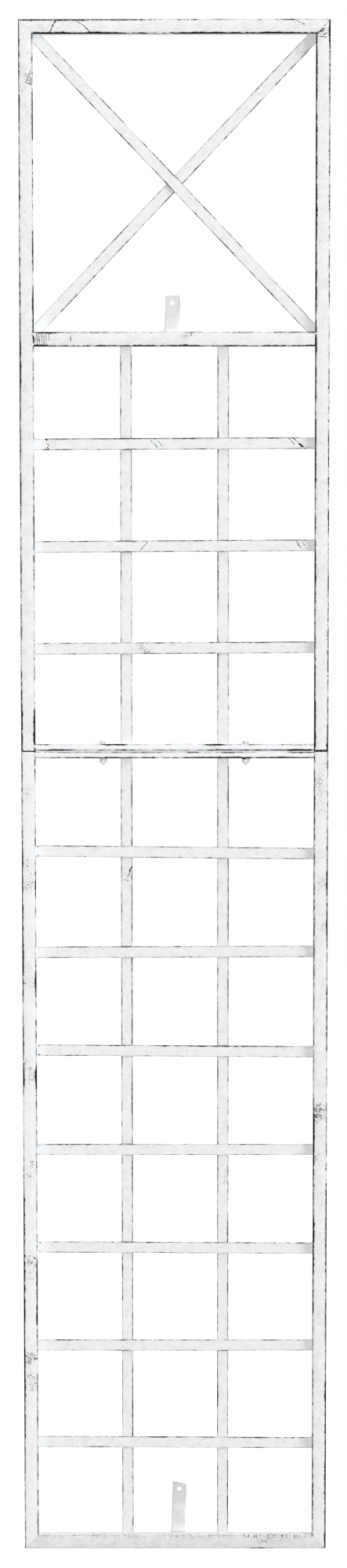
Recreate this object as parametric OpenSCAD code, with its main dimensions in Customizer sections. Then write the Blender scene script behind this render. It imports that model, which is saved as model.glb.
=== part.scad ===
// Two-panel espalier frame: welded tube and flat bar, bolted together at the middle, held off a wall by two tabs.
// The origin is the centre of the bottom rail's underside, +X to the right, +Y towards the wall, +Z up.

/* [Panels] */
// Outside width of both panels
frame_w = 430; // [360:1:600]
// Height of the upper panel
upper_h = 1008; // [860:1:1400]
// Height of the lower panel
lower_h = 1142; // [700:1:1600]
// Clear height of the braced bay under the top rail
bay_h = 406; // [260:1:480]
// Gap left between the stile ends of the two panels
seam = 1; // [0.4:0.1:2]

/* [Tube] */
// Face width of the frame tube
tube_w = 20; // [16:0.5:30]
// Depth of every tube, front to back
tube_d = 15; // [14:0.5:30]
// Wall thickness of every tube
tube_wall = 1.5; // [1:0.1:2.5]
// Outside corner radius of every tube
tube_r = 1.5; // [0.8:0.1:2]
// Face height of the two meeting rails
meeting_h = 10; // [8:0.5:16]

/* [Lattice] */
// Face width of the flat bar
flat_w = 16; // [10:0.5:24]
// Thickness of the flat bar
flat_t = 3; // [2:0.25:4]

/* [Wall tabs] */
// Width of the tab strap
tab_w = 20; // [14:0.5:30]
// Thickness of the tab strap
tab_t = 3; // [2:0.25:4]
// Distance from the back of the frame to the wall
tab_standoff = 60; // [40:1:80]
// Height of the tab's top edge above its rail
tab_rise = 54; // [45:1:80]
// Slope of the tab's sloping part above level, in degrees
tab_slope = 16; // [12:1:30]
// Inside radius of the tab's two bends
tab_bend_r = 4; // [2:0.5:6]
// Radius of the tab's two top corners
tab_corner_r = 2; // [1:0.25:4]
// Diameter of the tab's screw hole
tab_hole_d = 7; // [4:0.5:9]
// Distance from the tab's top edge down to the screw hole
tab_hole_drop = 9.5; // [8:0.5:14]
// Sideways place of the upper tab
upper_tab_x = -3; // [-40:1:40]
// Sideways place of the lower tab
lower_tab_x = 6; // [-40:1:40]

/* [Bolts] */
// Thread diameter of the two bolts
bolt_d = 6; // [5:0.5:7]
// Distance between the two bolts
bolt_spacing = 200; // [150:1:260]
// Width across the flats of the bolt heads and nuts
hex_af = 10; // [9.5:0.5:13]
// Height of the bolt heads
head_h = 4; // [3:0.25:6]
// Height of the nuts
nut_h = 5; // [4:0.25:7]
// Outside diameter of the washers
washer_d = 12; // [11:0.5:13.5]
// Thickness of the washers
washer_t = 1.6; // [1:0.1:2.5]
// Length of thread that shows under each nut
thread_tail = 3; // [1:0.25:8]

/* [Hidden] */
$fn = 64;
half = 0.5;
bar_layer_front = 0;
bar_layer_rear = 1;
upper_bars = 3;
lower_bars = 7;
uprights = 2;
mitre_angle = 45;
hex_sides = 6;
hex_point_angle = 30;
hex_chamfer = 0.3;
hole_clear = 0.3;
washer_clear = 0.2;
thread_clear = 0.08;
tip_chamfer = 0.6;
bend_steps = 10;
over = 1;

total_h = upper_h + lower_h;
inner_w = frame_w - 2 * tube_w;
stile_x = (frame_w - tube_w) * half;
transom_top = total_h - tube_w - bay_h;
transom_under = transom_top - tube_w;
upper_meeting_top = lower_h + meeting_h;
lower_meeting_under = lower_h - meeting_h;
upper_clear = transom_under - upper_meeting_top;
lower_clear = lower_meeting_under - tube_w;
upper_gap = (upper_clear - upper_bars * flat_w) / (upper_bars + 1);
lower_gap = (lower_clear - lower_bars * flat_w) / (lower_bars + 1);
column_gap = (inner_w - uprights * flat_w) / (uprights + 1);
upright_x = (column_gap + flat_w) * half;
brace_angle = atan2(bay_h, inner_w);
brace_len = inner_w + bay_h;
mitre_reach = 4 * tube_w;
back_y = tube_d * half;
lattice_y = back_y - tube_r - 2 * flat_t;
bolt_x = bolt_spacing * half;
bolt_len = 2 * meeting_h + washer_t + nut_h + thread_tail;

paint = [0.93, 0.93, 0.94];
paint_shade = [0.88, 0.89, 0.89];
zinc = [0.80, 0.81, 0.82];

function bar_centre(top, gap, i) = top - i * gap - (i - half) * flat_w;

function arc(centre, r, from, to) =
    [for (i = [0 : bend_steps]) let (a = from + (to - from) * i / bend_steps) centre + r * [cos(a), sin(a)]];

// A rectangle with its corners rounded
module rounded(w, d, r) {
    square([w - 2 * r, d], center = true);
    square([w, d - 2 * r], center = true);
    for (sx = [-1, 1], sy = [-1, 1])
        translate([sx * (w * half - r), sy * (d * half - r)])
            circle(r);
}

// Cross section of a tube
module tube_section(w) {
    difference() {
        rounded(w, tube_d, tube_r);
        square([w - 2 * tube_wall, tube_d - 2 * tube_wall], center = true);
    }
}

// A level tube with square ends, centred
module rail(len, h) {
    rotate([0, 90, 0])
        linear_extrude(len, center = true)
            tube_section(h);
}

// A block on one side of the mitre plane that falls to the right from its own origin
module mitre_block(side) {
    rotate([0, mitre_angle, 0])
        translate([0, 0, side * mitre_reach * half])
            cube(mitre_reach, center = true);
}

// A level tube mitred at both ends, its longer face up
module mitred_rail() {
    difference() {
        rail(frame_w, tube_w);
        for (m = [0, 1])
            mirror([m, 0, 0])
                translate([-frame_w * half, 0, tube_w * half])
                    mitre_block(-1);
    }
}

// A standing tube, square at its foot and mitred at the top, its longer face to the left
module mitred_stile(len) {
    difference() {
        linear_extrude(len)
            tube_section(tube_w);
        translate([-tube_w * half, 0, len])
            mitre_block(1);
    }
}

module upper_stile() {
    color(paint)
        translate([-stile_x, 0, lower_h + seam * half])
            mitred_stile(upper_h - seam * half);
}

module lower_stile() {
    color(paint)
        translate([-stile_x, 0, lower_h - seam * half])
            mirror([0, 0, 1])
                mitred_stile(lower_h - seam * half);
}

module upper_left_stile() {
    upper_stile();
}

module upper_right_stile() {
    mirror([1, 0, 0])
        upper_stile();
}

module lower_left_stile() {
    lower_stile();
}

module lower_right_stile() {
    mirror([1, 0, 0])
        lower_stile();
}

module top_rail() {
    color(paint)
        translate([0, 0, total_h - tube_w * half])
            mitred_rail();
}

module bottom_rail() {
    color(paint)
        translate([0, 0, tube_w * half])
            mirror([0, 0, 1])
                mitred_rail();
}

module transom() {
    color(paint)
        translate([0, 0, transom_top - tube_w * half])
            rail(inner_w, tube_w);
}

// A meeting rail with its two bolt holes
module meeting_rail() {
    color(paint)
        difference() {
            rail(inner_w, meeting_h);
            for (s = [-1, 1])
                translate([s * bolt_x, 0, 0])
                    cylinder(r = bolt_d * half + hole_clear, h = meeting_h + 2 * over, center = true);
        }
}

module upper_meeting_rail() {
    translate([0, 0, lower_h + meeting_h * half])
        meeting_rail();
}

module lower_meeting_rail() {
    translate([0, 0, lower_h - meeting_h * half])
        meeting_rail();
}

// Flat bar cut to an outline seen from the front; both layers lie at the back of the tubes, one against the other
module flat_bar(layer) {
    color(paint)
        translate([0, lattice_y + (layer + 1) * flat_t, 0])
            rotate([90, 0, 0])
                linear_extrude(flat_t)
                    children();
}

// Outline of a brace, trimmed to the corners of its bay
module brace_outline(angle) {
    translate([0, transom_top + bay_h * half])
        intersection() {
            square([inner_w, bay_h], center = true);
            rotate(angle)
                square([brace_len, flat_w], center = true);
        }
}

module brace_front() {
    flat_bar(bar_layer_front)
        brace_outline(-brace_angle);
}

module brace_rear() {
    flat_bar(bar_layer_rear)
        brace_outline(brace_angle);
}

// An upright between two heights, on one side of the middle
module upright(side, z0, z1) {
    flat_bar(bar_layer_rear)
        translate([side * upright_x - flat_w * half, z0])
            square([flat_w, z1 - z0]);
}

module upper_left_upright() {
    upright(-1, upper_meeting_top, transom_under);
}

module upper_right_upright() {
    upright(1, upper_meeting_top, transom_under);
}

module lower_left_upright() {
    upright(-1, tube_w, lower_meeting_under);
}

module lower_right_upright() {
    upright(1, tube_w, lower_meeting_under);
}

// A level bar, counted from the top of its panel's lattice
module cross_bar(z) {
    flat_bar(bar_layer_front)
        translate([0, z])
            square([inner_w, flat_w], center = true);
}

module upper_bar(i) {
    cross_bar(bar_centre(transom_under, upper_gap, i));
}

module lower_bar(i) {
    cross_bar(bar_centre(lower_meeting_under, lower_gap, i));
}

// Side outline of a wall tab: foot on the rail's back, slope, then an upright plate on the wall
module tab_outline(rail_top) {
    turn = 90 - tab_slope;
    bend_in = tab_bend_r;
    bend_out = tab_bend_r + tab_t;
    bend_mid = tab_bend_r + tab_t * half;
    foot_y = back_y + tab_t * half;
    plate_y = back_y + tab_standoff - tab_t * half;
    slope_len = (plate_y - foot_y - 2 * bend_mid * (1 - cos(turn))) / cos(tab_slope);
    foot_low = rail_top - tube_w + tube_r;
    foot_high = rail_top - tube_r;
    plate_low = foot_high + 2 * bend_mid * sin(turn) + slope_len * sin(tab_slope);
    plate_high = rail_top + tab_rise;
    low_bend = [foot_y + bend_mid, foot_high];
    high_bend = [plate_y - bend_mid, plate_low];
    polygon(concat(
        [[back_y, foot_low]],
        arc(low_bend, bend_out, 180, 180 - turn),
        arc(high_bend, bend_in, -turn, 0),
        [[plate_y - tab_t * half, plate_high], [plate_y + tab_t * half, plate_high]],
        arc(high_bend, bend_out, 0, -turn),
        arc(low_bend, bend_in, 180 - turn, 180),
        [[back_y + tab_t, foot_low]]
    ));
}

// Front outline of a wall tab, its two top corners rounded
module tab_front(rail_top) {
    top = rail_top + tab_rise;
    low = rail_top - tube_w - over;
    translate([-tab_w * half, low])
        square([tab_w, top - tab_corner_r - low]);
    translate([-tab_w * half + tab_corner_r, low])
        square([tab_w - 2 * tab_corner_r, top - low]);
    for (s = [-1, 1])
        translate([s * (tab_w * half - tab_corner_r), top - tab_corner_r])
            circle(tab_corner_r);
}

module wall_tab(x, rail_top) {
    reach = back_y + tab_standoff + over;
    color(paint_shade)
        translate([x, 0, 0])
            difference() {
                intersection() {
                    rotate([90, 0, 90])
                        linear_extrude(tab_w + 2 * over, center = true)
                            tab_outline(rail_top);
                    translate([0, reach, 0])
                        rotate([90, 0, 0])
                            linear_extrude(reach)
                                tab_front(rail_top);
                }
                translate([0, reach, rail_top + tab_rise - tab_hole_drop])
                    rotate([90, 0, 0])
                        cylinder(d = tab_hole_d, h = tab_t + 2 * over);
            }
}

module upper_wall_tab() {
    wall_tab(upper_tab_x, transom_top);
}

module lower_wall_tab() {
    wall_tab(lower_tab_x, tube_w);
}

// Hexagon with its points chamfered at both ends
module hex(h) {
    flat_r = hex_af * half - hex_chamfer;
    point_r = hex_af * half / cos(hex_point_angle);
    drop = (point_r - flat_r) * tan(hex_point_angle);
    intersection() {
        cylinder(r = point_r, h = h, $fn = hex_sides);
        rotate_extrude()
            polygon([[0, 0], [flat_r, 0], [point_r, drop], [point_r, h - drop], [flat_r, h], [0, h]]);
    }
}

module bolt(side) {
    color(zinc)
        translate([side * bolt_x, 0, upper_meeting_top]) {
            hex(head_h);
            translate([0, 0, tip_chamfer - bolt_len])
                cylinder(d = bolt_d, h = bolt_len - tip_chamfer);
            translate([0, 0, -bolt_len])
                cylinder(d1 = bolt_d - 2 * tip_chamfer, d2 = bolt_d, h = tip_chamfer);
        }
}

module washer(side) {
    color(zinc)
        translate([side * bolt_x, 0, lower_meeting_under - washer_t])
            difference() {
                cylinder(d = washer_d, h = washer_t);
                translate([0, 0, -over])
                    cylinder(r = bolt_d * half + washer_clear, h = washer_t + 2 * over);
            }
}

module nut(side) {
    color(zinc)
        translate([side * bolt_x, 0, lower_meeting_under - washer_t - nut_h])
            difference() {
                hex(nut_h);
                translate([0, 0, -over])
                    cylinder(r = bolt_d * half + thread_clear, h = nut_h + 2 * over);
            }
}

upper_left_stile();
upper_right_stile();
top_rail();
transom();
upper_meeting_rail();
brace_front();
brace_rear();
upper_left_upright();
upper_right_upright();
upper_bar(1);  // upper_bar_1
upper_bar(2);  // upper_bar_2
upper_bar(3);  // upper_bar_3
upper_wall_tab();
lower_left_stile();
lower_right_stile();
lower_meeting_rail();
bottom_rail();
lower_left_upright();
lower_right_upright();
lower_bar(1);  // lower_bar_1
lower_bar(2);  // lower_bar_2
lower_bar(3);  // lower_bar_3
lower_bar(4);  // lower_bar_4
lower_bar(5);  // lower_bar_5
lower_bar(6);  // lower_bar_6
lower_bar(7);  // lower_bar_7
lower_wall_tab();
bolt(-1);  // left_bolt
bolt(1);  // right_bolt
washer(-1);  // left_washer
washer(1);  // right_washer
nut(-1);  // left_nut
nut(1);  // right_nut
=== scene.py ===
import math

import bmesh
import bpy
import numpy as np
from mathutils import Matrix, Vector, noise


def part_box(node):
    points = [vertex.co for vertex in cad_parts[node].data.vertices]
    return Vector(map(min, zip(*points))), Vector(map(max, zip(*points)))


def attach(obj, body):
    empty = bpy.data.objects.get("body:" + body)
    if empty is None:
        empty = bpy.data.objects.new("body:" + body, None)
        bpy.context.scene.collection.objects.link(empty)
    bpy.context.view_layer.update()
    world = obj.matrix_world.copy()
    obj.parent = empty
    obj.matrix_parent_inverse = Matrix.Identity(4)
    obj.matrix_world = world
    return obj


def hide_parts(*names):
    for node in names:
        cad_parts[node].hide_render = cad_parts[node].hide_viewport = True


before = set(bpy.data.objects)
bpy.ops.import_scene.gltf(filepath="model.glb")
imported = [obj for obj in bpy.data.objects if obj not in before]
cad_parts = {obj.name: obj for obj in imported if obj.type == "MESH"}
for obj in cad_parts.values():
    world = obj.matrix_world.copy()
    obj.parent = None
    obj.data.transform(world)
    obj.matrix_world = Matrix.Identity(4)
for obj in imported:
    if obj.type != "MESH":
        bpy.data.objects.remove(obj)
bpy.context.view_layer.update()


class Flow:
    # a socket that does sums: every operator adds one Math node to its tree
    def __init__(self, tree, socket=None):
        self.tree, self.socket = tree, socket

    def node(self, kind, settings=None, sockets=None, out=0):
        made = self.tree.nodes.new(kind)
        for key, value in (settings or {}).items():
            setattr(made, key, value)
        for key, value in (sockets or {}).items():
            if isinstance(value, Flow):
                self.tree.links.new(value.socket, made.inputs[key])
            else:
                made.inputs[key].default_value = value
        return Flow(self.tree, made.outputs[out] if made.outputs else None)

    def sums(self, operation, first, second=0.0):
        return self.node("ShaderNodeMath", {"operation": operation}, {0: first, 1: second})

    def __add__(self, other):
        return self.sums("ADD", self, other)

    def __radd__(self, other):
        return self.sums("ADD", other, self)

    def __sub__(self, other):
        return self.sums("SUBTRACT", self, other)

    def __rsub__(self, other):
        return self.sums("SUBTRACT", other, self)

    def __mul__(self, other):
        return self.sums("MULTIPLY", self, other)

    def __rmul__(self, other):
        return self.sums("MULTIPLY", other, self)

    def __truediv__(self, other):
        return self.sums("DIVIDE", self, other)

    def __rtruediv__(self, other):
        return self.sums("DIVIDE", other, self)

    def __abs__(self):
        return self.sums("ABSOLUTE", self)

    def sign(self):
        return self.sums("SIGN", self)

    def most(self, other):
        return self.sums("MAXIMUM", self, other)

    def least(self, other):
        return self.sums("MINIMUM", self, other)

    def rise(self, low, high):
        # 0 up to low, 1 from high on, smooth between
        return self.node("ShaderNodeMapRange", {"interpolation_type": "SMOOTHSTEP"},
                         {"Value": self, "From Min": low, "From Max": high})

    def vector(self, operation, first, second, out=0):
        return self.node("ShaderNodeVectorMath", {"operation": operation}, {0: first, 1: second}, out)


def mixed(parts, shares):
    # a weighted sum of sockets
    total = shares[0] * parts[0]
    for part, share in zip(parts[1:], shares[1:]):
        total = total + share * part
    return total


def grain(bench, where, scale, stretch=(1, 1, 1), turn=0.0, detail=3.0, rough=0.55, twist=0.0):
    # noise in the member's own space: stretch below 1 draws it out along that axis
    spot = where
    if turn:
        spot = bench.node("ShaderNodeVectorRotate", {"rotation_type": "Z_AXIS"},
                          {"Vector": spot, "Angle": math.radians(turn)})
    if stretch != (1, 1, 1):
        spot = bench.vector("MULTIPLY", spot, stretch)
    return bench.node("ShaderNodeTexNoise", {"noise_dimensions": "3D"},
                      {"Vector": spot, "Scale": scale, "Detail": detail,
                       "Roughness": rough, "Distortion": twist})


def blendColour(bench, factor, first, second):
    return bench.node("ShaderNodeMix", {"data_type": "RGBA"}, {0: factor, 6: first, 7: second}, out=2)


def newMaterial(name):
    material = bpy.data.materials.new(name)
    material.use_nodes = True
    material.node_tree.nodes.clear()
    return material, Flow(material.node_tree)


def finishMaterial(bench, colour, rough, height, gloss, bump=0.7):
    # height is in metres, so the bump's distance stays at 1
    bumped = bench.node("ShaderNodeBump", None, {"Strength": bump, "Distance": 1.0, "Height": height})
    shader = bench.node("ShaderNodeBsdfPrincipled", None,
                        {"Base Color": colour, "Roughness": rough, "Normal": bumped,
                         "Specular IOR Level": gloss, "Metallic": 0.0})
    bench.node("ShaderNodeOutputMaterial", None, {"Surface": shader})


# white paint brushed over black iron and rubbed back: lengths in metres, turns in degrees, the rest shares
tubePaint = {
    "white": (0.905, 0.912, 0.919, 1), "dull": (0.61, 0.618, 0.622, 1), "thin": (0.36, 0.365, 0.37, 1),
    # fresh is the bluer white of painted highlights, not a paint of its own
    "fresh": (0.93, 0.945, 0.96, 1), "iron": (0.003, 0.003, 0.0033, 1),
    "edgeWidth": 0.0105, "edgeStart": 0.625, "edgeSoft": 0.00028, "edgeRub": 0.14,
    "edgeThin": 0.40, "thinReach": (-0.0020, 0.0002), "ends": 0.0004, "endsUneven": 0.004, "calm": 0.0,
    "calmFade": (0.8, 1.1), "hatch": -14, "stroke": -61, "slants": 0.48, "speckle": 0.55, "patches": 1.0,
    "patchThin": 0.75,
    "lineSoft": 0.0003, "lineShake": 0.003, "lineRate": 300, "lineUneven": 3.2, "lineGaps": 0.9,
    "coat": 0.00012, "brushed": 0.00005, "rough": 0.72, "roughWorn": 0.14, "roughUneven": 0.2, "gloss": 0.1,
}
latticePaint = dict(tubePaint, dull=(0.64, 0.648, 0.652, 1), edgeWidth=0.0094, edgeStart=0.63, calm=0.012,
                    ends=0.0, slants=0.36, hatch=-20, stroke=-47, speckle=0.45)
# the tabs' paint is greyer than the tubes'
tabPaint = dict(tubePaint, white=(0.86, 0.868, 0.872, 1), dull=(0.72, 0.728, 0.732, 1), edgeWidth=0.006,
                edgeStart=0.64, ends=0.0, slants=0.08, patches=0.0, speckle=0.35)
hardwarePaint = dict(tubePaint, edgeWidth=0.005, edgeStart=0.64, ends=0.0, slants=0.08, patches=0.15)

# the noises of the paint, in the member's own space with x along it
paintGrain = {
    "gaps": {"scale": 40, "stretch": (0.55, 1, 1), "detail": 2.0},
    "ragged": {"scale": 250, "stretch": (0.45, 1, 1), "detail": 4.0, "rough": 0.65},
    "fine": {"scale": 900, "detail": 2.0},
    "cloud": {"scale": 17},
    "hatch": {"scale": 560, "stretch": (0.16, 1, 1), "rough": 0.6},
    "ticks": {"scale": 800, "stretch": (1, 0.16, 0.16), "turn": 8, "detail": 2.0},
    "slants": {"scale": 640, "stretch": (0.08, 1, 1), "detail": 2.0},
    "patch": {"scale": 90, "detail": 5.0, "rough": 0.65},
    "flakes": {"scale": 360, "stretch": (0.7, 1, 1), "turn": -35, "twist": 1.2},
    "core": {"scale": 480},
    "wobble": {"scale": 420},
    "worms": {"scale": 330, "stretch": (0.7, 1, 1), "twist": 1.4},
    "mottle": {"scale": 75},
    "specks": {"scale": 1100},
    "dots": {"scale": 640, "stretch": (0.8, 1, 1), "detail": 2.0},
}
# the marks in the paint: the level of noise from which each shows and at which it is full, the same for the
# cloud that it keeps to, and how much a scuff adds
paintMarks = {
    "ticks": {"show": (0.52, 0.66), "cloud": (0.36, 0.66), "scuff": 0.3, "reach": 0.006, "fade": 0.004},
    "slants": {"show": (0.64, 0.71), "cloud": (0.50, 0.80), "scuff": 0.15},
    "patch": {"show": (0.70, 0.80), "scuff": 0.30},
    "flakes": {"show": (0.46, 0.60)},
    "core": {"show": (0.50, 0.62), "scuff": 0.25},
    # tone's last number is how far painted shade and painted highlights move the paint's tone
    "tone": {"show": (0.41, 0.78), "dim": 0.12},
    "specks": {"show": (0.60, 0.70), "cloud": (0.40, 0.62), "scuff": 0.5},
    "dots": {"show": (0.53, 0.65), "scuff": (0.3, 0.95), "amount": 0.75},
}
laySpacing = 5.0  # metres between two members in the paint's space, so that no two have the same wear


def slash(bench, lay, wobble, mark, soft):
    # one dark line, from and to in the member's own space, then its width: mostly a cut through the paint, on
    # the front brace a painted shadow line
    first, last, width = Vector(mark[0]), Vector(mark[1]), mark[2]
    ahead = (last - first).normalized()
    away = bench.vector("SUBTRACT", lay, first)
    reach = bench.vector("DOT_PRODUCT", away, ahead, out="Value").most(0.0).least((last - first).length)
    foot = bench.node("ShaderNodeVectorMath", {"operation": "SCALE"}, {0: ahead, "Scale": reach})
    gap = bench.vector("DISTANCE", away, foot, out="Value")
    return (width * wobble - gap).rise(-soft, soft)


# white paint rubbed back to black iron, with painted shade and painted highlights from a mark of painted
# light on each piece
def wornPaintWithPaintedLight(name, look, darkLines=()):
    material, bench = newMaterial(name)
    marks = paintMarks

    def read(layer, out="Fac"):
        return bench.node("ShaderNodeAttribute", {"attribute_name": layer}, out=out)

    def noiseOf(kind, **more):
        return grain(bench, lay, **paintGrain[kind], **more)

    def clouded(kind):
        return (cloud + marks[kind]["scuff"] * scuff).rise(*marks[kind]["cloud"])

    lay = read("lay", "Vector")
    rim, stop, rub, scuff, dash, dim = map(read, ("rim", "stop", "rub", "scuff", "dash", "dim"))

    # rubbed edges: long and short gaps in a ragged black line
    fine = noiseOf("fine")
    level = mixed((noiseOf("gaps"), noiseOf("ragged"), fine), (0.32, 0.38, 0.30))
    width = look["edgeWidth"] * (level - look["edgeStart"] + look["edgeRub"] * rub)
    edge = (width - rim).rise(-look["edgeSoft"], look["edgeSoft"])

    # brush marks and bare patches
    cloud = noiseOf("cloud")
    ticks = noiseOf("ticks").rise(*marks["ticks"]["show"]) * clouded("ticks") * dash
    ticks = ticks * (marks["ticks"]["reach"] - rim).rise(0.0, marks["ticks"]["fade"])
    slants = noiseOf("slants", turn=look["stroke"]).rise(*marks["slants"]["show"])
    slants = slants * clouded("slants") * look["slants"]
    patch = (noiseOf("patch") + marks["patch"]["scuff"] * scuff).rise(*marks["patch"]["show"])
    patch = patch * noiseOf("flakes").rise(*marks["flakes"]["show"]) * look["patches"]
    core = noiseOf("core") + marks["core"]["scuff"] * (scuff - 1).most(0.0)
    core = patch * core.rise(*marks["core"]["show"])
    worn = edge.most(ticks).most(slants).most(core)
    if look["ends"]:
        bare = look["ends"] + look["endsUneven"] * (level - 0.5) - stop
        worn = worn.most(bare.rise(-look["lineSoft"], look["lineSoft"]))
    if look["calm"]:
        worn = worn * stop.rise(*(look["calm"] * share for share in look["calmFade"]))
    # dark lines: cuts through the paint, and on the front brace a painted shadow line
    if darkLines:
        shake = bench.node("ShaderNodeTexNoise", None,
                           {"Vector": lay, "Scale": look["lineRate"], "Detail": 3.0}, out="Color")
        full, half = look["lineShake"], look["lineShake"] / 2
        shake = bench.node("ShaderNodeVectorMath", {"operation": "MULTIPLY_ADD"},
                           {0: shake, 1: (full, full, 0), 2: (-half, -half, 0)})
        shaken = bench.vector("ADD", lay, shake)
        wobble = (look["lineUneven"] * noiseOf("wobble") - look["lineGaps"]).most(0.0)
        for cut in darkLines:
            worn = worn.most(slash(bench, shaken, wobble, cut, look["lineSoft"]))

    # the paint's tone: its own random tone, greyed by painted shade and whitened by painted highlights,
    # thinner where it is speckled and beside what is rubbed
    hatch, worms = noiseOf("hatch", turn=look["hatch"]), noiseOf("worms", turn=look["hatch"])
    tone = mixed((hatch, fine, worms, noiseOf("mottle"), dim), (0.22, 0.24, 0.30, 0.24, marks["tone"]["dim"]))
    paint = blendColour(bench, tone.rise(*marks["tone"]["show"]), look["white"], look["dull"])
    # painted highlight: the paint turns to the bluer white where the mark of painted light is below 0
    paint = blendColour(bench, (0.0 - dim).rise(0.0, 1.0), paint, look["fresh"])
    specks = mixed((worms, noiseOf("specks")), (0.6, 0.4)).rise(*marks["specks"]["show"])
    specks = specks * clouded("specks") * look["speckle"]
    dots = noiseOf("dots").rise(*marks["dots"]["show"]) * scuff.rise(*marks["dots"]["scuff"])
    dots = dots * (marks["dots"]["amount"] * look["patches"])
    beside = (width - rim).rise(*look["thinReach"]) * look["edgeThin"]
    thin = specks.most(beside).most(patch * look["patchThin"]).most(dots)
    paint = blendColour(bench, thin, paint, look["thin"])
    colour = blendColour(bench, worn, paint, look["iron"])

    rough = look["rough"] - look["roughWorn"] * worn + look["roughUneven"] * (fine - 0.5)
    height = (1 - worn) * look["coat"] + hatch * look["brushed"] + fine * look["brushed"]
    finishMaterial(bench, colour, rough, height, look["gloss"])
    return material


def addObject(name, data):
    made = bpy.data.objects.new(name, data)
    bpy.context.scene.collection.objects.link(made)
    return made


def meshObject(name, points, faces, smoothAngle):
    mesh = bpy.data.meshes.new(name)
    mesh.from_pydata([tuple(p) for p in points], [], faces)
    work = bmesh.new()
    work.from_mesh(mesh)
    bmesh.ops.recalc_face_normals(work, faces=work.faces)
    work.to_mesh(mesh)
    work.free()
    smoothBy(mesh, smoothAngle)
    return addObject(name, mesh)


def smoothBy(mesh, angle):
    mesh.polygons.foreach_set("use_smooth", np.ones(len(mesh.polygons), bool))
    mesh.set_sharp_from_angle(angle=math.radians(angle))


def evaluatedMesh(piece):
    bpy.context.view_layer.update()
    graph = bpy.context.evaluated_depsgraph_get()
    return bpy.data.meshes.new_from_object(piece.evaluated_get(graph), depsgraph=graph)


def storeFloats(mesh, name, values):
    layer = mesh.attributes.new(name, "FLOAT", "POINT")
    layer.data.foreach_set("value", np.asarray(values, np.float32))


def storeMarks(mesh, lay, **marks):
    # what the paint reads at each point; a single number holds for the whole piece
    layer = mesh.attributes.new("lay", "FLOAT_VECTOR", "POINT")
    layer.data.foreach_set("vector", np.asarray(lay, np.float32).ravel())
    for name, values in marks.items():
        storeFloats(mesh, name, np.zeros(len(mesh.vertices)) + values)


def vertexPlaces(mesh):
    places = np.zeros(len(mesh.vertices) * 3, np.float64)
    mesh.vertices.foreach_get("co", places)
    return places.reshape(-1, 3)


def settle(piece, node, body, slotName):
    # hand a finished piece to its body, in place of its CAD node
    piece.data.materials.clear()
    piece.data.materials.append(paints[slotName])
    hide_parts(node)
    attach(piece, body)


def bulge(values, low, high, soft):
    # 1 between low and high, fading over soft at both ends
    up = np.clip((values - low) / soft + 0.5, 0, 1)
    down = np.clip((high - values) / soft + 0.5, 0, 1)
    up, down = up * up * (3 - 2 * up), down * down * (3 - 2 * down)
    return up * down


def numbered(panels, start):
    # every member with a seed of its own and its panel
    rows = [(panel, name, run) for panel, runs in panels.items() for name, run in runs.items()]
    return [(seed, *row) for seed, row in enumerate(rows, start)]


def layDarkLines(darkLines, seed, front):
    # dark lines are listed as (along, across, along, across, width) on the front of their member
    shift = laySpacing * seed
    return [((u0 + shift, v0, front), (u1 + shift, v1, front), width) for u0, v0, u1, v1, width in darkLines]


tubeShape = {
    "corner": 0.0015, "wall": 0.0015, "innerCorner": 0.0004, "mitreGap": 0.00012, "boltHole": 0.0033,
    "ringStep": 0.006, "endRing": 0.0006, "smooth": 35, "firstSeed": 1,
    "bow": 0.00025, "bowRate": 5.0, "dent": 0.00016, "dentRate": 55.0, "straightEnd": 8,
    "cornerLoss": 0.586, "seamThin": 2.5, "backRub": 1.0, "rubFade": 0.03,
    "scuffLong": 1.4, "scuffWide": 0.014,
}
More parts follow.
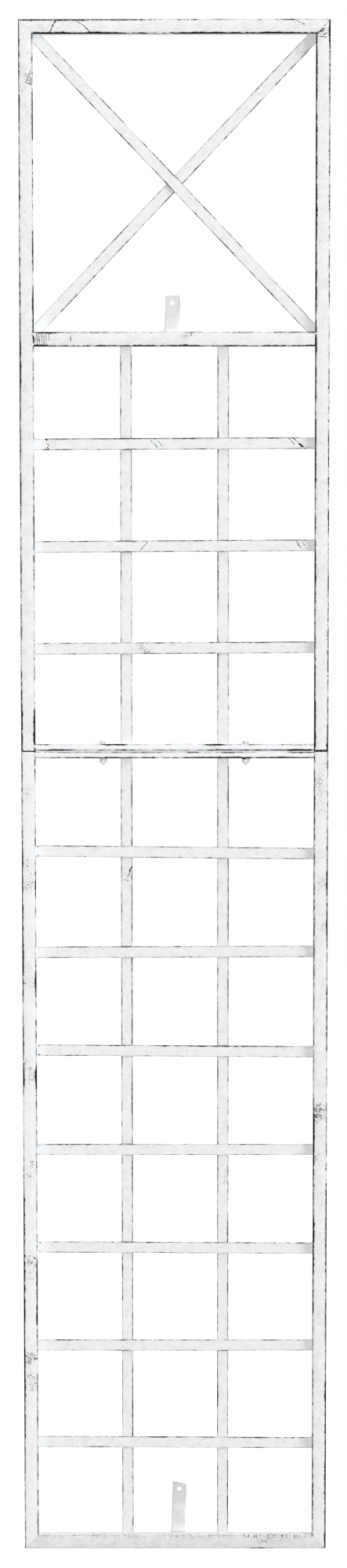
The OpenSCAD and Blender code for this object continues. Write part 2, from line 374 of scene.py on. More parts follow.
# tubes of each panel: along x or z, cut is the mitre at the low and high end, rub is the wear of the front's
# low and high edge, rubbed lists (edge, from, to, more wear), scuffs (along, across, half length, amount),
# seam is the side that meets the other panel, dim is painted shade that greys the paint, and below 0 a
# painted highlight that whitens it; in metres
tubeRuns = {
    "upper_panel": {
        "topRail": {
            "node": "top_rail", "along": "x", "cut": (-1, -1), "rub": (1.8, 1.0),
            "rubbed": [("high", -0.20, -0.05, 0.5), ("high", 0.10, 0.165, 0.1), ("high", 0.17, 0.205, -0.5),
                       ("low", -0.08, 0.0, -0.5)],
            "scuffs": [(-0.180, -0.003, 0.012, 0.72), (0.19, -0.006, 0.01, 0.8)],
            "darkLines": [(-0.1623, 0.0090, -0.1668, 0.0010, 0.0011), (-0.1668, 0.0010, -0.1725, -0.0098, 0.0010),
                     (-0.1332, 0.0063, -0.1240, 0.0008, 0.0007), (-0.1240, 0.0008, -0.1156, -0.0084, 0.0010),
                     (0.1950, -0.0095, 0.2010, -0.0060, 0.0014), (0.1660, 0.0080, 0.1800, 0.0020, 0.0004)]},
        "upperLeftStile": {
            "node": "upper_left_stile", "along": "z", "cut": (0, 1), "rub": (1.25, 1.08),
            "rubbed": [("high", 2.0, 2.12, -0.1), ("low", 2.02, 2.15, 0.3), ("low", 1.60, 1.75, 0.5),
                       ("high", 1.15, 1.2, 0.8), ("high", 1.74, 1.78, 0.7), ("low", 1.14, 1.25, 0.4)],
            "scuffs": [(1.36, 0.0, 0.02, 0.3), (2.070, 0.006, 0.008, 0.95)],
            "darkLines": [(2.0857, 0.0095, 2.0646, 0.0005, 0.0005), (2.0646, 0.0005, 2.0607, 0.0098, 0.0007),
                     (2.0790, 0.0060, 2.0760, 0.0097, 0.0004), (2.0730, 0.0038, 2.0690, 0.0097, 0.00045),
                     (2.0680, 0.0018, 2.0640, 0.0097, 0.00045), (2.0700, 0.0070, 2.0610, 0.0075, 0.0004)]},
        "upperRightStile": {
            "node": "upper_right_stile", "along": "z", "cut": (0, -1), "rub": (1.4, 1.15),
            "rubbed": [("low", 1.70, 2.13, 0.25), ("high", 2.115, 2.15, 1.2), ("low", 1.15, 1.3, 0.3),
                       ("high", 1.142, 1.157, 1.0)],
            "scuffs": [(2.134, 0.0, 0.010, 0.95)],
            "darkLines": [(2.1412, 0.0010, 2.1490, 0.0090, 0.0007), (2.1300, -0.0085, 2.1340, -0.0030, 0.0013),
                     (2.1330, -0.0020, 2.1375, 0.0020, 0.0007), (2.1375, 0.0020, 2.1340, 0.0045, 0.0006),
                     (2.1290, 0.0000, 2.1310, 0.0060, 0.0007), (2.1265, -0.0060, 2.1255, 0.0040, 0.0006),
                     (1.1432, -0.0098, 1.1434, 0.0099, 0.0012)]},
        "transomTube": {
            "node": "transom", "along": "x", "cut": (0, 0), "rub": (1.22, 0.75),
            "rubbed": [("high", -0.193, -0.157, 1.2), ("low", -0.195, -0.178, 0.9),
                       ("high", 0.13, 0.195, 0.5), ("low", 0.0, 0.1, 0.4)],
            "scuffs": [(-0.186, 0.0, 0.010, 0.95), (-0.17, -0.002, 0.012, 0.55), (0.187, 0.0, 0.006, 0.6),
                       (0.016, 0.003, 0.008, 0.8)],
            "darkLines": [(-0.1915, 0.008, -0.1895, -0.009, 0.00045), (-0.1835, 0.008, -0.1840, -0.008, 0.0004),
                     (-0.1780, 0.007, -0.1775, -0.009, 0.0004), (-0.1885, 0.0085, -0.1870, -0.0060, 0.00045),
                     (-0.1810, 0.006, -0.1805, -0.0085, 0.00045), (-0.1740, 0.0075, -0.1745, -0.002, 0.0004),
                     (-0.1930, -0.008, -0.1850, -0.009, 0.0011), (-0.1440, 0.0045, -0.1438, -0.003, 0.0007)]},
        "upperMeetingRail": {
            "node": "upper_meeting_rail", "along": "x", "cut": (0, 0), "rub": (1.75, 0.65), "seam": -1,
            # the whiter paint of this rail is a painted highlight
            "dim": -0.5, "boltHoles": True,
            "rubbed": [("low", -0.18, -0.14, 0.5), ("high", 0.050, 0.068, 1.6), ("high", -0.1, -0.07, 0.6),
                       ("low", 0.15, 0.195, 1.2)],
            "scuffs": [(0.055, 0.001, 0.006, 1.0), (-0.16, -0.003, 0.02, 0.5)]},
    },
    "lower_panel": {
        "lowerLeftStile": {
            # the slightly whiter paint of this stile is a painted highlight
            "node": "lower_left_stile", "along": "z", "cut": (1, 0), "rub": (1.2, 0.93), "dim": -0.3,
            "rubbed": [("high", 0.33, 0.42, 0.8), ("low", 0.22, 0.44, 0.6), ("high", 0.03, 0.3, 0.3),
                       ("low", 0.72, 1.0, 0.2), ("high", 0.806, 0.826, 1.2), ("low", 0.815, 0.850, 0.8),
                       ("high", 0.670, 0.692, 1.2), ("low", 0.672, 0.695, 0.8), ("high", 0.945, 0.962, 0.8)],
            "scuffs": [(1.087, 0.0, 0.014, 0.72), (0.981, 0.0, 0.016, 0.7), (0.9535, 0.002, 0.010, 1.0),
                       (0.839, 0.0, 0.014, 0.7), (0.8165, 0.003, 0.011, 1.0), (0.697, 0.0, 0.014, 0.7),
                       (0.679, 0.003, 0.010, 1.0), (0.543, 0.0, 0.016, 0.8), (0.420, 0.0, 0.009, 1.1),
                       (0.395, 0.0, 0.022, 0.78), (0.2755, 0.0, 0.009, 1.1), (0.252, 0.0, 0.022, 0.8)],
            "darkLines": [(0.4295, -0.0095, 0.4235, -0.0070, 0.0007), (0.4200, -0.0060, 0.4185, -0.0010, 0.0005),
                     (0.4220, 0.0050, 0.4190, 0.0095, 0.0008), (0.4155, -0.0040, 0.4175, 0.0030, 0.0005),
                     (0.2830, -0.0090, 0.2785, -0.0050, 0.0006), (0.2770, 0.0040, 0.2750, 0.0095, 0.0006),
                     (0.2720, -0.0095, 0.2700, -0.0040, 0.0006)]},
        "lowerRightStile": {
            "node": "lower_right_stile", "along": "z", "cut": (-1, 0), "rub": (1.11, 1.05),
            "rubbed": [("high", 0.0, 0.53, 0.6), ("low", 0.40, 0.63, 0.6), ("low", 0.03, 0.12, 0.3),
                       ("high", 0.9, 1.14, 0.2), ("high", 0.945, 0.970, 1.1), ("high", 0.885, 0.906, 1.0)],
            "scuffs": [(0.629, -0.002, 0.011, 1.6), (1.09, 0.002, 0.04, 0.7), (0.959, 0.008, 0.011, 0.95),
                       (0.896, 0.008, 0.010, 0.85), (0.575, -0.002, 0.04, 0.6)],
            "darkLines": [(0.6370, -0.0090, 0.6350, -0.0060, 0.0008), (0.6340, -0.0085, 0.6315, -0.0040, 0.0008),
                     (0.6295, -0.0095, 0.6250, -0.0070, 0.0011), (0.6250, -0.0070, 0.6225, -0.0030, 0.0009),
                     (0.6240, -0.0015, 0.6265, 0.0020, 0.0008), (0.6360, 0.0020, 0.6330, 0.0050, 0.0006),
                     (0.6200, -0.0095, 0.6180, -0.0060, 0.0007)]},
        "lowerMeetingRail": {
            "node": "lower_meeting_rail", "along": "x", "cut": (0, 0), "rub": (1.35, 1.2), "seam": 1,
            # the whiter paint of this rail is a painted highlight
            "dim": -0.5, "boltHoles": True,
            "rubbed": [("low", 0.03, 0.195, 0.5), ("low", -0.195, -0.12, -0.3), ("low", -0.07, 0.02, -0.3),
                       ("high", 0.115, 0.155, -0.9), ("high", 0.16, 0.195, 0.6)],
            "scuffs": [(-0.01, 0.0, 0.03, 0.2)]},
        "bottomRail": {
            # the greyer paint of this rail is painted shade
            "node": "bottom_rail", "along": "x", "cut": (1, 1), "rub": (0.45, 0.2), "dash": 0.9, "dim": 0.6,
            "rubbed": [("low", 0.10, 0.14, 1.1)],
            "scuffs": [(0.13, 0.003, 0.013, 1.02), (0.02, 0.007, 0.05, 0.6), (0.15, 0.009, 0.03, 0.8)]},
    },
}


def sectionLoop(face, depth, corner):
    # a rounded rectangle: five points to each corner, then the middle of the side after it
    across, back = face / 2 - corner, depth / 2 - corner
    middles = ((0, depth / 2), (-face / 2, 0), (0, -depth / 2), (face / 2, 0))
    loop = []
    for index, (sv, sn) in enumerate(((1, 1), (-1, 1), (-1, -1), (1, -1))):
        for step in range(5):
            turn = math.radians(90 * index + 22.5 * step)
            loop.append((sv * across + corner * math.cos(turn), sn * back + corner * math.sin(turn)))
        loop.append(middles[index])
    return loop


def ringShares(length):
    # even rings, and one close to each end
    even = np.linspace(0, 1, max(4, round(length / tubeShape["ringStep"])) + 1)
    tight = tubeShape["endRing"] / length
    return np.unique(np.concatenate([even, [tight, 1 - tight]]))


def tubeFrame(run):
    low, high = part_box(run["node"])
    along, across = Vector((1, 0, 0)), Vector((0, 0, 1))
    if run["along"] == "z":
        along, across = across, along
    middle = (low + high) / 2
    return {"origin": middle - along * middle.dot(along), "along": along, "across": across,
            "back": Vector((0, 1, 0)), "low": low.dot(along), "high": high.dot(along),
            "face": (high - low).dot(across), "depth": high.y - low.y}


tubeCuts = []
for seed, panel, name, run in numbered(tubeRuns, tubeShape["firstSeed"]):
    tubeCuts += layDarkLines(run.get("darkLines", ()), seed, -tubeFrame(run)["depth"] / 2)
paints = {
    "frame_tube": wornPaintWithPaintedLight("whitePaintOnTube", tubePaint, tubeCuts),
    "wall_tabs": wornPaintWithPaintedLight("whitePaintOnTabs", tabPaint),
    "hardware": wornPaintWithPaintedLight("whitePaintOnBolts", hardwarePaint),
}
print("paints mixed:", len(paints))


def wallFaces(faces, start, count, rings):
    # four-sided faces between rings of count points that follow each other from start
    for ring in range(rings - 1):
        for k in range(count):
            a, b = start + ring * count + k, start + ring * count + (k + 1) % count
            faces.append((a, b, b + count, a + count))


def sweepTube(name, run, seed):
    place, shape = tubeFrame(run), tubeShape
    face, depth, wall = place["face"], place["depth"], shape["wall"]
    outer = sectionLoop(face, depth, shape["corner"])
    inner = sectionLoop(face - 2 * wall, depth - 2 * wall, shape["innerCorner"])
    cutLow, cutHigh = run["cut"]
    gapLow, gapHigh = (shape["mitreGap"] if cut else 0 for cut in run["cut"])

    def waver(u, level, wander):
        return noise.noise(Vector((u * shape["bowRate"], seed * 7.3, level))) * shape["bow"] * wander

    def put(share, v, n, wander):
        first = place["low"] + gapLow + abs(cutLow) * face / 2 + cutLow * v
        last = place["high"] - gapHigh - abs(cutHigh) * face / 2 - cutHigh * v
        u = first + share * (last - first)
        pinch = 1.0
        if wander and abs(v) > face / 2 - shape["corner"] and abs(n) > depth / 2 - shape["corner"]:
            side = (1 if v > 0 else 0) + (2 if n > 0 else 0)
            dent = noise.fractal(Vector((u * shape["dentRate"], seed * 3.1 + side * 4.7, 1)), 0.6, 2.0, 3)
            pinch = 1 - max(0.0, dent) * shape["dent"] / (face / 2)
        return (place["origin"] + place["along"] * u + place["across"] * (v * pinch + waver(u, 0, wander))
                + place["back"] * (n * pinch + waver(u, 5, wander)))

    shares = ringShares(place["high"] - place["low"])
    points, faces, count = [], [], len(outer)
    for share in shares:
        wander = min(1.0, shape["straightEnd"] * min(share, 1 - share))
        points += [put(share, v, n, wander) for v, n in outer]
    wallFaces(faces, 0, count, len(shares))
    base, lastRing = len(points), (len(shares) - 1) * count
    for share in (0.0, 1.0):
        points += [put(share, v, n, 0.0) for v, n in inner]
    for k in range(count):
        after = (k + 1) % count
        faces.append((base + k, base + after, base + count + after, base + count + k))
        faces.append((k, after, base + after, base + k))
        faces.append((lastRing + k, lastRing + after, base + count + after, base + count + k))
    piece = meshObject(name, points, faces, shape["smooth"])
    if run.get("boltHoles"):
        drillBoltHoles(piece, place)
    return piece, place


def roundRod(name, radius, length, centre, axis="Z", sides=32):
    work = bmesh.new()
    bmesh.ops.create_cone(work, cap_ends=True, segments=sides, radius1=radius, radius2=radius, depth=length)
    mesh = bpy.data.meshes.new(name)
    if axis == "Y":
        bmesh.ops.rotate(work, verts=work.verts, matrix=Matrix.Rotation(math.radians(90), 3, "X"))
    bmesh.ops.translate(work, verts=work.verts, vec=centre)
    work.to_mesh(mesh)
    work.free()
    return addObject(name, mesh)


def drill(piece, rods):
    for rod in rods:
        cut = piece.modifiers.new("drill", "BOOLEAN")
        cut.operation, cut.solver, cut.object = "DIFFERENCE", "EXACT", rod
    old, fresh = piece.data, evaluatedMesh(piece)
    piece.modifiers.clear()
    piece.data = fresh
    bpy.data.meshes.remove(old)
    for rod in rods:
        bpy.data.meshes.remove(rod.data)
    smoothBy(piece.data, tubeShape["smooth"])


def drillBoltHoles(piece, place):
    rods = []
    for node in ("left_bolt", "right_bolt"):
        low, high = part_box(node)
        centre = Vector(((low.x + high.x) / 2, 0, place["origin"].z))
        rods.append(roundRod(node + "Drill", tubeShape["boltHole"], 2 * place["face"], centre))
    drill(piece, rods)


def markTube(piece, run, place, seed):
    shape = tubeShape
    offset = vertexPlaces(piece.data) - np.array(place["origin"])
    u, v, n = (offset @ np.array(place[axis]) for axis in ("along", "across", "back"))
    half, halfDepth = place["face"] / 2, place["depth"] / 2
    rim = np.clip(half - np.abs(v), 0, None) + np.clip(halfDepth - np.abs(n), 0, None)
    rim = rim - shape["cornerLoss"] * shape["corner"]
    if run.get("seam"):
        # where the panels meet the wear is a thin line on the face, and the rounded corner keeps its paint
        gap = half - v * run["seam"]
        rim = np.where(gap < half, shape["seamThin"] * np.abs(gap - shape["corner"]), rim)
    highShare = np.clip(v / place["face"] + 0.5, 0, 1)
    backShare = np.clip(n / place["depth"] + 0.5, 0, 1)
    rubs = {edge: np.full(len(u), value) for edge, value in zip(("low", "high"), run["rub"])}
    for edge, first, last, more in run["rubbed"]:
        rubs[edge] = rubs[edge] + bulge(u, first, last, shape["rubFade"]) * more
    front = rubs["low"] * (1 - highShare) + rubs["high"] * highShare
    scuff = np.zeros(len(u))
    for centre, across, reach, amount in run["scuffs"]:
        fade = ((u - centre) / (shape["scuffLong"] * reach)) ** 2 + ((v - across) / shape["scuffWide"]) ** 2
        scuff = np.maximum(scuff, amount * np.exp(-fade))
    storeMarks(piece.data, np.stack([u + laySpacing * seed, v, n], axis=1),
               rim=np.clip(rim, 0, None), stop=np.minimum(u - place["low"], place["high"] - u),
               rub=front * (1 - backShare) + shape["backRub"] * backShare, scuff=scuff * (1 - backShare),
               dash=run.get("dash", 0.0) * np.clip(2 * v / half, 0, 1) * (1 - backShare),
               dim=run.get("dim", 0.0))


for seed, panel, name, run in numbered(tubeRuns, tubeShape["firstSeed"]):
    tube, place = sweepTube(name, run, seed)
    markTube(tube, run, place, seed)
    settle(tube, run["node"], panel, "frame_tube")
print("tubes swept:", sum(len(runs) for runs in tubeRuns.values()))


# flat bars of the lattice and the two braces, one Geometry Nodes tree for all of them
flatShape = {
    "width": 0.016, "front": 0.0015, "chamfer": 0.0005, "wander": 0.0005, "ringStep": 0.006,
    "rows": 7, "layers": 3, "edgeRow": (0.83, 0.84), "shoulderRow": (0.5, 0.51), "rowSpread": 1.3,
    "shakeRate": (9, 24), "cornerLoss": 0.6, "smooth": 35, "firstSeed": 20,
    # the last three set the painted highlight at the left ends of bars and braces: its strength and reach
    "noScuff": (0.0, 0.05, 0.0), "highlightStrength": 1.2, "highlightReach": 0.014, "braceHighlightReach": 0.034,
}
# two dark dots at the left end of some bars
endDots = [(-0.1925, side * 0.0066, -0.1916, side * 0.0062, 0.0008) for side in (-1, 1)]
# rub is the wear of the low and high edge, scuff is its place along, reach and amount, tilt is in degrees,
# calm shortens the clean ends, slope is the way a brace rises
flatRuns = {
    "upper_panel": {
        "braceFront": {
            "node": "brace_front", "slope": -1, "rub": (1.14, 1.14), "calm": 0.5, "scuff": (0.0, 0.05, 0.3),
            # the dark line along the low edge at the crossing is a painted shadow where this brace lies over
            # the rear one
            "darkLines": [(-0.0085, -0.0078, 0.0085, -0.0078, 0.0008)]},
        "braceRear": {
            "node": "brace_rear", "slope": 1, "rub": (1.18, 1.06), "calm": 0.5, "scuff": (0.235, 0.03, 0.35)},
        "upperLeftUpright": {"node": "upper_left_upright", "rub": (1.08, 1.13)},
        "upperRightUpright": {"node": "upper_right_upright", "rub": (1.0, 1.33)},
        "upperBar1": {
            "node": "upper_bar_1", "rub": (1.15, 1.35), "tilt": 0.25, "scuff": (-0.176, 0.006, 0.8),
            "darkLines": [(-0.1795, 0.0075, -0.1778, 0.0052, 0.0012), (-0.1778, 0.0022, -0.1772, 0.0012, 0.0007),
                     (-0.1758, -0.0006, -0.1752, -0.002, 0.0007), (-0.1768, -0.004, -0.1755, -0.0068, 0.0007),
                     (0.1590, 0.0065, 0.1660, -0.0010, 0.0006), (0.1650, 0.0072, 0.1775, -0.0050, 0.0007),
                     (0.1745, -0.0010, 0.1790, -0.0045, 0.0011), (-0.0340, 0.0060, -0.0240, -0.0050, 0.0005),
                     (-0.0230, 0.0040, -0.0160, -0.0040, 0.0004)]},
        "upperBar2": {
            "node": "upper_bar_2", "rub": (1.05, 1.25), "tilt": 0.3, "scuff": (0.0, 0.08, 0.4),
            "darkLines": [(0.1700, 0.0060, 0.1755, -0.0030, 0.0006), (0.1770, 0.0070, 0.1810, 0.0000, 0.0005),
                     (-0.0480, -0.0055, -0.0380, 0.0060, 0.0005)]},
        "upperBar3": {"node": "upper_bar_3", "rub": (1.0, 1.2), "tilt": 0.3, "scuff": (-0.042, 0.012, 0.8)},
    },
    "lower_panel": {
        "lowerLeftUpright": {
            "node": "lower_left_upright", "rub": (1.5, 1.15), "scuff": (0.39, 0.02, 0.55),
            "darkLines": [(0.4019, -0.0073, 0.3979, -0.0047, 0.0013), (0.3979, -0.0047, 0.3878, -0.0015, 0.0007),
                     (0.3830, -0.0020, 0.3838, 0.0020, 0.0006)]},
        "lowerRightUpright": {"node": "lower_right_upright", "rub": (1.3, 1.2), "scuff": (-0.04, 0.02, 0.5)},
        "lowerBar1": {"node": "lower_bar_1", "rub": (1.0, 1.15), "tilt": -0.6, "scuff": (0.1, 0.03, 0.3),
                      "darkLines": endDots},
        "lowerBar2": {"node": "lower_bar_2", "rub": (0.95, 1.05), "tilt": 0.2},
        "lowerBar3": {"node": "lower_bar_3", "rub": (1.0, 1.15), "tilt": -0.35, "darkLines": endDots},
        "lowerBar4": {"node": "lower_bar_4", "rub": (0.9, 1.05), "darkLines": endDots},
        "lowerBar5": {"node": "lower_bar_5", "rub": (0.95, 1.1), "tilt": -0.25, "darkLines": endDots},
        "lowerBar6": {"node": "lower_bar_6", "rub": (0.95, 1.0)},
        "lowerBar7": {"node": "lower_bar_7", "rub": (0.95, 1.05), "tilt": -0.25,
                      "scuff": (-0.14, 0.02, 0.4)},
    },
}
flatFloats = ("Length", "Width", "Thickness", "Chamfer", "Slope up", "Slope down", "Wander", "Seed",
              "Low rub", "High rub", "Calm share", "Scuff place", "Scuff reach", "Scuff", "Highlight strength",
              "Highlight reach")
flatInputs = [(label, "Float") for label in flatFloats]
flatInputs += [("Rings", "Int"), ("Turn", "Vector"), ("Place", "Vector")]

flatDarkLines = []
for seed, panel, name, run in numbered(flatRuns, flatShape["firstSeed"]):
    flatDarkLines += layDarkLines(run.get("darkLines", ()), seed, flatShape["front"])
paints["lattice"] = wornPaintWithPaintedLight("whitePaintOnFlatBar", latticePaint, flatDarkLines)


def newTree(name, inputs):
    tree = bpy.data.node_groups.new(name, "GeometryNodeTree")
    tree.interface.new_socket("Geometry", in_out="INPUT", socket_type="NodeSocketGeometry")
    keys = {}
    for label, kind in inputs:
        socket = tree.interface.new_socket(label, in_out="INPUT", socket_type="NodeSocket" + kind)
        keys[label] = socket.identifier
    tree.interface.new_socket("Geometry", in_out="OUTPUT", socket_type="NodeSocketGeometry")
    entry = tree.nodes.new("NodeGroupInput")
    given = {socket.name: Flow(tree, socket) for socket in entry.outputs if socket.name}
    return tree, Flow(tree), keys, given


def closeTree(bench, shape, paint, smooth=False):
    shape = bench.node("GeometryNodeRealizeInstances", None, {"Geometry": shape})
    if smooth:
        shape = bench.node("GeometryNodeSetShadeSmooth", None, {"Geometry": shape})
    shape = bench.node("GeometryNodeSetMaterial", None, {"Geometry": shape, "Material": paint})
    bench.node("NodeGroupOutput", None, {"Geometry": shape})


def keep(bench, mesh, name, value, kind="FLOAT"):
    return bench.node("GeometryNodeStoreNamedAttribute", {"data_type": kind, "domain": "POINT"},
                      {"Geometry": mesh, "Name": name, "Value": value})


def joined(bench, x, y, z):
    return bench.node("ShaderNodeCombineXYZ", None, {0: x, 1: y, 2: z})


def threeParts(bench, vector):
    split = bench.node("ShaderNodeSeparateXYZ", None, {0: vector})
    return [Flow(bench.tree, split.socket.node.outputs[k]) for k in range(3)]


def flatBarTree():
    tree, bench, keys, given = newTree("flatBar", flatInputs)
    shape, seed = flatShape, given["Seed"]
    size = joined(bench, given["Length"], given["Width"], given["Thickness"])
    counts = {"Vertices X": given["Rings"], "Vertices Y": shape["rows"], "Vertices Z": shape["layers"]}
    bar = bench.node("GeometryNodeMeshCube", None, {"Size": size, **counts})
    u, v, n = threeParts(bench, bench.node("GeometryNodeInputPosition"))
    halfLength, half, thick = given["Length"] * 0.5, given["Width"] * 0.5, given["Thickness"] * 0.5
    # the seven rows across: edge, chamfer, third, middle and back again
    row = abs(v) / half
    isEdge, isShoulder = row.rise(*shape["edgeRow"]), row.rise(*shape["shoulderRow"])
    shoulder = (isShoulder - isEdge) * (half - given["Chamfer"])
    v2 = v.sign() * (isEdge * half + shoulder + (1 - isShoulder) * abs(v) * shape["rowSpread"])
    n2 = n * (1 - isEdge * given["Chamfer"] / thick)
    # ends cut to the corner of the bay on the braces, square on the rest
    vEnd = v2 * u.sign()
    trim = (vEnd * given["Slope up"]).least(vEnd * given["Slope down"] * -1)
    u2 = u * (1 + trim / halfLength)
    rateLong, rateWide = shape["shakeRate"]
    spot = joined(bench, u2 * rateLong + seed * 17, v2 * rateWide, n2 * rateWide)
    shake = bench.node("ShaderNodeTexNoise", None,
                       {"Vector": spot, "Scale": 1.0, "Detail": 3.0, "Roughness": 0.62}, out=1)
    sway, swing = ((part - 0.5) * given["Wander"] for part in threeParts(bench, shake)[1:])
    place = joined(bench, u2, v2 + sway, n2 + swing * 0.5)
    bar = bench.node("GeometryNodeSetPosition", None, {"Geometry": bar, "Position": place})
    u, v, n = threeParts(bench, bench.node("GeometryNodeInputPosition"))
    bar = keep(bench, bar, "lay", joined(bench, u + seed * laySpacing, v, n), "FLOAT_VECTOR")
    rim = (half - abs(v)).most(0.0) + (thick - abs(n)).most(0.0)
    bar = keep(bench, bar, "rim", (rim - shape["cornerLoss"] * given["Chamfer"]).most(0.0))
    bar = keep(bench, bar, "stop", (halfLength - abs(u)).most(0.0) * given["Calm share"])
    highShare = (v / given["Width"] + 0.5).least(1.0).most(0.0)
    bar = keep(bench, bar, "rub", given["Low rub"] + (given["High rub"] - given["Low rub"]) * highShare)
    near = (u - given["Scuff place"]) / given["Scuff reach"]
    bar = keep(bench, bar, "scuff", given["Scuff"] * (1 - near * near * 0.4).most(0.0))
    # painted highlight at the left end: the paint whitens toward that end, standing in for the light that
    # falls there
    fresh = (1 - (u + halfLength) / given["Highlight reach"]).most(0.0)
    bar = keep(bench, bar, "dim", fresh * given["Highlight strength"] * -1)
    bar = bench.node("GeometryNodeTransform", None,
                     {"Geometry": bar, "Rotation": given["Turn"], "Translation": given["Place"]})
    closeTree(bench, bar, paints["lattice"])
    return tree, keys


def bakeTree(name, tree, keys, values, drops=()):
    # run a tree on a carrier mesh and keep its result as a plain mesh
    carrier = bpy.data.meshes.new(name + "Carrier")
    carrier.from_pydata([place for place, size in drops], [], [])
    storeFloats(carrier, "drop", [size for place, size in drops])
    holder = addObject(name + "Carrier", carrier)
    build = holder.modifiers.new("build", "NODES")
    build.node_group = tree
    for label, value in values.items():
        build[keys[label]] = value
    mesh = evaluatedMesh(holder)
    mesh.name = name
    holder.modifiers.clear()
    bpy.data.objects.remove(holder)
    bpy.data.meshes.remove(carrier)
    return addObject(name, mesh)


barTree, barKeys = flatBarTree()
for seed, panel, name, run in numbered(flatRuns, flatShape["firstSeed"]):
    low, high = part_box(run["node"])
    reach, brace = high - low, run.get("slope")
    upright = reach.z > reach.x and not brace
    angle = math.radians(90 if upright else run.get("tilt", 0.0))
    length, slopes = max(reach.x, reach.z), (0.0, 0.0)
    if brace:
        steep = math.atan2(reach.z, reach.x)
        angle, length = steep * brace, math.hypot(reach.x, reach.z)
        slopes = (math.tan(steep), 1 / math.tan(steep))[::brace]
    # bar space is along, across, back to front: x stays x or turns up, y turns to z
    turn = Matrix.Rotation(-angle, 4, "Y") @ Matrix.Rotation(math.radians(90), 4, "X")
    scuff = run.get("scuff", flatShape["noScuff"])
    bar = bakeTree(name, barTree, barKeys, {
        "Length": length, "Width": flatShape["width"], "Thickness": reach.y, "Chamfer": flatShape["chamfer"],
        "Rings": round(length / flatShape["ringStep"]), "Slope up": slopes[0], "Slope down": slopes[1],
        "Wander": flatShape["wander"], "Seed": float(seed),
        "Low rub": run["rub"][0], "High rub": run["rub"][1], "Calm share": run.get("calm", 1.0),
        "Scuff place": scuff[0], "Scuff reach": scuff[1], "Scuff": scuff[2],
        # painted highlight at the left end of bars and braces, none on uprights
        "Highlight strength": 0.0 if upright else flatShape["highlightStrength"],
        "Highlight reach": flatShape["braceHighlightReach" if brace else "highlightReach"],
        "Turn": tuple(turn.to_euler()), "Place": tuple((low + high) / 2)})
    smoothBy(bar.data, flatShape["smooth"])
    settle(bar, run["node"], panel, "lattice")
print("flat bars made:", sum(len(runs) for runs in flatRuns.values()))


# wall tabs: a strap bent out from the rail's back, with a screw hole
tabShape = {
    "width": 0.020, "thick": 0.003, "slope": 16, "bend": 0.004, "foot": 0.017, "cornerRadius": 0.002,
    "edge": 0.0005, "hole": 0.007, "holeDrop": 0.0095, "holeSides": 40, "holeReach": 0.008, "drill": 0.02,
    "slantReach": 0.008, "leanFrom": 0.018, "leanTo": 0.01, "smooth": 35,
    # the last two: where the painted shade on the plate starts above the foot and how far it fades in
    "seed": 52, "rub": 0.55, "dimFrom": 0.03, "dimOver": 0.02,
}
# slant is the slope of the cut top, lean is how far the strap strays sideways low and high, and the last
# number is painted shade that greys the plate above its foot
tabRuns = {
    "upper_panel": {
        "upperWallTab": {"node": "upper_wall_tab", "slant": 0.02, "lean": (-0.0014, 0.0004), "dim": 0.0}},
    "lower_panel": {
        "lowerWallTab": {"node": "lower_wall_tab", "slant": -0.2, "lean": (-0.0018, 0.0), "dim": 1.3}},
}


def tabPath(low, high):
    # centre line of the strap seen from the side: (y, z, turn of its face)
    shape, radius = tabShape, tabShape["cornerRadius"]
    slope, turn = math.radians(shape["slope"]), math.radians(90 - shape["slope"])
    bend = shape["bend"] + shape["thick"] / 2
    yFoot, yPlate = low.y + shape["thick"] / 2, high.y - shape["thick"] / 2
    length = (yPlate - yFoot - 2 * bend * (1 - math.cos(turn))) / math.cos(slope)
    zFoot = low.z + shape["foot"]
    path = [(yFoot, low.z + t * (zFoot - low.z), 0.0) for t in np.linspace(0, 1, 7)[:-1]]
    for t in np.linspace(0, 1, 9):
        path.append((yFoot + bend - bend * math.cos(t * turn), zFoot + bend * math.sin(t * turn), t * turn))
    y0, z0 = path[-1][:2]
    for t in np.linspace(0, 1, 10)[1:-1]:
        path.append((y0 + t * length * math.cos(slope), z0 + t * length * math.sin(slope), turn))
    z1 = z0 + length * math.sin(slope) + bend * math.sin(turn)
    for t in np.linspace(0, 1, 9):
        left = turn - t * turn
        path.append((yPlate - bend + bend * math.cos(left), z1 - bend * math.sin(left), turn * (1 - t)))
    path += [(yPlate, z, 0.0) for z in np.linspace(path[-1][1], high.z - radius, 12)[1:]]
    path += [(yPlate, high.z - radius * (1 - t), 0.0) for t in (0.3, 0.55, 0.75, 0.9, 1.0)]
    return path


def tabPoints(path, ring, low, high, run):
    # the strap's rings, narrowed to round its top corners and slanted at the top
    shape, radius, points = tabShape, tabShape["cornerRadius"], []
    middle, half, top = (low.x + high.x) / 2, shape["width"] / 2, high.z
    for y, z, lean in path:
        sway = float(np.interp(z, (low.z + shape["leanFrom"], top - shape["leanTo"]), run["lean"]))
        short = 0.0
        if z > top - radius:
            short = radius - math.sqrt(max(0.0, radius ** 2 - (z - top + radius) ** 2))
        for a, b in ring:
            x = math.copysign(max(0.0, abs(a) - short * abs(a) / half), a) if a else 0.0
            rise = run["slant"] * x * max(0.0, (z - top + shape["slantReach"]) / shape["slantReach"])
            points.append((middle + x + sway, y - b * math.cos(lean), z + b * math.sin(lean) + rise))
    return points


